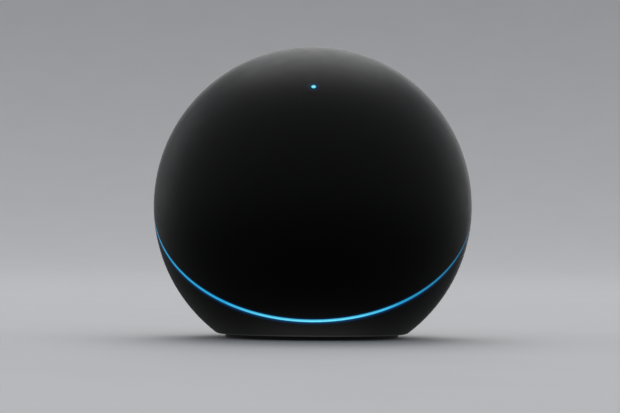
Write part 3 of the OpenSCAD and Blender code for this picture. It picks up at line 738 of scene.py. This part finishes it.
def make_speaker_sockets():
    """Gold sleeves with rounded mouths, each inside a coloured polarity ring."""
    low, high = box_mm("speaker_sockets")
    bore, outer, floor, lip = 2.0, SOCKET_R, 27.5, 0.3
    profile = [(0, low.y), (outer, low.y), *arc(outer - lip, high.y - lip, lip, 0, 90, 4),
               *arc(bore + lip, high.y - lip, lip, 90, 180, 4), (bore, floor), (0, floor)]
    places = speaker_places("minus") + speaker_places("plus")
    sleeves = [along_y(lathe_mesh(profile, 64), at) for at in places]
    made = piece("speaker_sleeves", *joined(*sleeves), "contact_gold", "base", look=SOCKET_GOLD)
    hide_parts("speaker_sockets")

    front = box_mm("speaker_blocks")[1].y
    ring_inner, ring_outer, edge, proud, sunk = 3.05, 3.95, 0.2, 0.02, 0.3
    profile = [(ring_inner, front - sunk), *arc(ring_inner + edge, front + proud, edge, 180, 90, 3),
               *arc(ring_outer - edge, front + proud, edge, 90, 0, 3), (ring_outer, front - sunk)]
    for row, slot, look in (("minus", "port_plastic", RING_GREY), ("plus", "lead_insulation", None)):
        rings = [along_y(lathe_mesh(profile, 64), at) for at in speaker_places(row)]
        piece("speaker_rings_" + row, *joined(*rings), slot, "base", look=look)


def make_network_face():
    """Pressed metal face of the network socket with its latch notch, and two small light windows."""
    x, z = middle_of("ethernet_jack")
    mouth_x, mouth_z, notch_x, notch_z = 5.9, 4.1, 3, 5.7
    window_x, window_z = 5.0, z + 5.35
    notch = [(x - notch_x, z - mouth_z), (x - notch_x, z - notch_z),
             (x + notch_x, z - notch_z), (x + notch_x, z - mouth_z)]
    mouth = [(x - mouth_x, z + mouth_z), (x - mouth_x, z - mouth_z), *notch,
             (x + mouth_x, z - mouth_z), (x + mouth_x, z + mouth_z)]
    windows = [round_outline(3.0, 1.3, 0.3, (x + side * window_x, window_z)) for side in (-1, 1)]
    plate_piece("network_face", [round_outline(15.2, 12.6, 0.9, (x, z)), mouth, *windows],
                PANEL_Y - 0.25, PANEL_Y + 0.15, 0.06, "can_steel", "base")
    for side, name, look in ((-1, "link_window", WINDOW_GREEN), (1, "activity_window", WINDOW_AMBER)):
        place = (x + side * window_x, PANEL_Y - 0.1, window_z)
        piece(name, *block_mesh(place, (2.9, 0.7, 1.2), 0.2), "led_white", "base", look=look)


def make_small_sockets():
    """Black tongues with gold contacts inside the video and data sockets."""
    for name, node, width, depth in (("video", "hdmi_socket", 4.4, 6.5), ("data", "usb_socket", 3.8, 5.5)):
        x, z = middle_of(node)
        back, front = PANEL_Y - depth - 0.3, PANEL_Y - 1.1
        y = (back + front) / 2
        tongue = block_mesh((x, y, z), (width + 0.12, front - back, 0.74), 0.12)
        piece(name + "_tongue", *tongue, "port_plastic", "base")
        contacts = [block_mesh((x + (i - 2) * width / 5.5, y - 0.1, z - 0.38),
                               (0.35, front - back - 0.7, 0.08), 0.02) for i in range(5)]
        piece(name + "_contacts", *joined(*contacts), "contact_gold", "base")


def make_pairing_button():
    """The dished button with a rounded rim, its flange and its stem."""
    low, high = box_mm("pairing_button")
    cap_r, flange_r, stem_r, lip = 2.2, 2.7, 1.1, 0.25
    flange_y = (38.4, 38.9)
    dish, dish_r = 0.35, 1.7
    hollow = [(r, high.y - dish * (1 - (r / dish_r) ** 2)) for r in (1.6, 1.3, 1.0, 0.7, 0.35)]
    profile = [(0, low.y), (stem_r, low.y), (stem_r, flange_y[0]), (flange_r, flange_y[0]),
               (flange_r, flange_y[1]), (cap_r, flange_y[1]),
               *arc(cap_r - lip, high.y - lip, lip, 0, 80, 4), *hollow, (0, high.y - dish)]
    cap = along_y(lathe_mesh(profile, 64), middle_of("pairing_button"))
    made = piece("pairing_cap", *cap, SLOT_OF["pairing_button"], "pairing_button")
    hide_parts("pairing_button")


def make_shutter():
    """The sprung flap: a bevelled door with a finger rib, on its pin."""
    low, high = box_mm("optical_shutter")
    pin_r, width, thick = 0.4, 6.7, 0.8
    x, y, pin_z = (low.x + high.x) / 2, (low.y + high.y) / 2, high.z - pin_r
    door = block_mesh((x, y, (low.z + pin_z) / 2), (width, thick, pin_z - low.z), 0.14)
    rib = block_mesh((x, high.y, low.z + 1.1), (3.6, 0.36, 0.5), 0.12)
    pin = tube_mesh([(low.x, y, pin_z), (high.x, y, pin_z)], pin_r, 24)
    made = piece("shutter_flap", *joined(door, rib, pin), SLOT_OF["optical_shutter"], "optical_shutter")
    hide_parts("optical_shutter")


def build_rear():
    make_panel()
    make_speaker_sockets()
    make_network_face()
    make_small_sockets()
    make_pairing_button()
    make_shutter()


# ------------------------------------------------------------------ inside

# How far each CAD node's sharp edges are broken
EDGE_MM = {
    "transformer": 0.35, "bulk_capacitors": 0.5, "board_capacitors": 0.35, "amplifier_inductors": 0.4,
    "board_chips": 0.12, "shield_cans": 0.3, "board_connector": 0.2, "fuse": 0.25,
    "power_heatsink": 0.15, "thermal_pad": 0.15, "hall_sensors": 0.1, "ring_leds": 0.12,
    "status_led": 0.1, "encoder_magnet": 0.25, "bearing_spacer": 0.2, "bearing_inner_races": 0.25,
    "bearing_outer_races": 0.25, "retaining_ring": 0.12, "preload_washer": 0.05, "dome_carrier": 0.3,
    "chassis": 0.4, "spindle": 0.3, "power_inlet": 0.3, "inlet_pins": 0.5, "ethernet_jack": 0.15,
    "ethernet_contacts": 0.06, "hdmi_socket": 0.2, "usb_socket": 0.2, "antennas": 0.12,
    "button_switch": 0.15, "status_led_board": 0.1, "encoder_board": 0.1, "io_board": 0.1,
    "main_board": 0.1, "power_board": 0.1, "led_ring_board": 0.1,
}


def make_choke():
    """A ferrite ring under a single layer of copper wire, its axis along the dome's."""
    low, high, inner, outer = -16.6, -10.6, 2.4, 5.2
    turns, wire_r = 17, 0.42
    wire = 2 * wire_r
    core = [(inner + wire, low + wire), (outer - wire, low + wire),
            (outer - wire, high - wire), (inner + wire, high - wire)]
    place = LEANING @ Matrix.Translation((0, 9.5 * MM, 0))
    made = piece("choke_core", *lathe_mesh(core, 64), "ferrite", "base", place)
    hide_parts("power_choke")
    corners = [(outer, -1, high, -1), (inner, 1, high, -1), (inner, 1, low, 1), (outer, -1, low, 1)]
    section = []
    for i, (r, inward, z, towards) in enumerate(corners):
        section += arc(r + inward * wire, z + towards * wire, wire_r, i * 90, i * 90 + 90, 3)
    loops = []
    for i in range(turns):
        turn = 2 * math.pi * (i + 0.5) / (turns + 1)
        path = [(r * math.cos(turn), r * math.sin(turn), z) for r, z in section]
        side = (-math.sin(turn), math.cos(turn), 0)
        loops.append(tube_mesh(path, 0.95 * wire_r, 8, True, lambda _, side=side: side))
    piece("choke_winding", *joined(*loops), "copper", "base", place)


def build_inside():
    for node, width in EDGE_MM.items():
        soften(node, width)
    for node in ("dome_shell", "bearing_balls", "bearing_cages"):
        weld(node)
    make_choke()


def build_outside():
    make_light_band()
    make_lens()
    make_foot()
    make_base_cover()
    make_bay_lip()


# ------------------------------------------------------------------ set

LIGHT_FROM = Vector((0, 0.6, 0.8))
ROOM_DIM, ROOM_LIT = 0.1, 0.62          # light of the room, in front below and behind above
BELOW_SHARE = 0.35                      # what is left of it below the floor


def add_light(name, kind, place, energy, size):
    """A soft light that looks at the ball; size is its angle for a sun and its sides for an area."""
    light = bpy.data.lights.new(name, kind)
    if kind == "SUN":
        light.angle = math.radians(size)
    else:
        light.shape = "RECTANGLE"
        light.size, light.size_y = size
    light.energy = energy
    lamp = bpy.data.objects.new(name, light)
    lamp.location = place
    lamp.rotation_mode = "QUATERNION"
    lamp.rotation_quaternion = (CENTRE - Vector(place)).to_track_quat("-Z", "Y")
    lamp.visible_camera = False
    bpy.context.scene.collection.objects.link(lamp)


def make_floor():
    """A pale floor that curves up into a wall all round. Only a camera on its upper side sees it, so
    that the lights shine through it and the underside can be looked at."""
    s = Shader("studio_floor")
    s.paint(s.blend(s.noise(60, 4), (0.7, 0.7, 0.71), (0.74, 0.74, 0.75)))
    s.rough(s.span(s.noise(20, 4), 0.8, 0.95))
    s.bump((s.noise(4, 3), 0.02))
    s.set(specular_ior_level=0.05)
    clear = s.node("ShaderNodeBsdfTransparent")
    choose = s.node("ShaderNodeMixShader")
    from_above = s.math("SUBTRACT", 1.0, s.node("ShaderNodeNewGeometry").outputs["Backfacing"])
    by_camera = s.node("ShaderNodeLightPath").outputs["Is Camera Ray"]
    s.link(s.math("MULTIPLY", from_above, by_camera), choose.inputs[0])
    s.link(clear.outputs[0], choose.inputs[1])
    s.link(s.surface.outputs[0], choose.inputs[2])
    s.link(choose.outputs[0], s.output.inputs["Surface"])
    flat, sweep, top, segments = 2.0, 2.5, 5.0, 96          # metres, and steps round
    profile = [(0.3, 0), (1, 0), *arc(flat, sweep, sweep, 270, 360, 24), (flat + sweep, top)]
    points, faces = [(0, 0, 0)], []
    for i in range(segments):
        turn = 2 * math.pi * i / segments
        points += [(r * math.cos(turn), r * math.sin(turn), z) for r, z in profile]
    for i in range(segments):
        a, b = 1 + i * len(profile), 1 + (i + 1) % segments * len(profile)
        faces.append((0, a, b))
        faces += [(a + k, a + k + 1, b + k + 1, b + k) for k in range(len(profile) - 1)]
    mesh = bpy.data.meshes.new("studio_floor")
    mesh.from_pydata(points, [], faces)
    mesh.shade_smooth()
    mesh.materials.append(s.material)
    floor = bpy.data.objects.new("studio_floor", mesh)
    bpy.context.scene.collection.objects.link(floor)


def light_studio():
    """A soft room that is lightest above and behind the ball, as in the photograph, and wide lamps."""
    world = bpy.data.worlds.new("studio")
    world.use_nodes = True
    tree = world.node_tree
    background = tree.nodes["Background"]
    background.inputs["Color"].default_value = (0.8, 0.82, 0.85, 1)
    facing = tree.nodes.new("ShaderNodeVectorMath")
    facing.operation = "DOT_PRODUCT"
    facing.inputs[1].default_value = LIGHT_FROM.normalized()
    level = map_range(tree, -1, 1, ROOM_DIM, ROOM_LIT)
    split = tree.nodes.new("ShaderNodeSeparateXYZ")
    above = map_range(tree, -0.2, 0.05, BELOW_SHARE, 1)
    product = tree.nodes.new("ShaderNodeMath")
    product.operation = "MULTIPLY"
    towards = tree.nodes.new("ShaderNodeTexCoord").outputs["Generated"]
    for source, target in ((towards, facing.inputs[0]), (facing.outputs["Value"], level.inputs["Value"]),
                           (towards, split.inputs[0]), (split.outputs["Z"], above.inputs["Value"]),
                           (level.outputs[0], product.inputs[0]), (above.outputs[0], product.inputs[1]),
                           (product.outputs[0], background.inputs["Strength"])):
        tree.links.new(source, target)
    bpy.context.scene.world = world
    add_light("high_sun", "SUN", (0, 0.75, 1), 0.8, 45)
    add_light("back_sun", "SUN", (0.1, 1.3, 0.3), 0.45, 40)
    add_light("left_box", "AREA", (-1.0, 1.0, 0.4), 0.5, (0.5, 0.8))
    add_light("right_box", "AREA", (1.0, 1.1, 0.4), 0.4, (0.5, 0.8))
    add_light("under_box", "AREA", (0, 0.5, -0.9), 1.1, (0.6, 0.6))


# The photograph's view: almost level with the ball's centre, 15.84 ball radii away
VIEW_DISTANCE = 15.84
VIEW_DROP_DEG = 1.0
VIEW_ROLL_DEG = 0.4
VIEW_LENS = 146.0               # mm, on a sensor 36 mm wide
VIEW_AIM = (-1.02, -0.2)        # aim beside and below the ball's centre, mm


def add_camera():
    camera = bpy.data.cameras.new("camera")
    camera.lens = VIEW_LENS
    camera.sensor_width = 36
    camera.clip_start, camera.clip_end = 0.01, 50
    made = bpy.data.objects.new("camera", camera)
    drop = math.radians(VIEW_DROP_DEG)
    made.location = CENTRE + VIEW_DISTANCE * BALL_R * Vector((0, -math.cos(drop), -math.sin(drop)))
    target = CENTRE + Vector((VIEW_AIM[0], 0, VIEW_AIM[1])) * MM
    look = (target - made.location).to_track_quat("-Z", "Y").to_matrix().to_4x4()
    turn = look @ Matrix.Rotation(math.radians(VIEW_ROLL_DEG), 4, "Z")
    made.rotation_mode = "QUATERNION"
    made.rotation_quaternion = turn.to_quaternion()
    bpy.context.scene.collection.objects.link(made)
    bpy.context.scene.camera = made


bpy.context.scene.view_settings.view_transform = "Standard"
add_camera()
dress_frame()
build_outside()
build_rear()
build_inside()
make_floor()
light_studio()
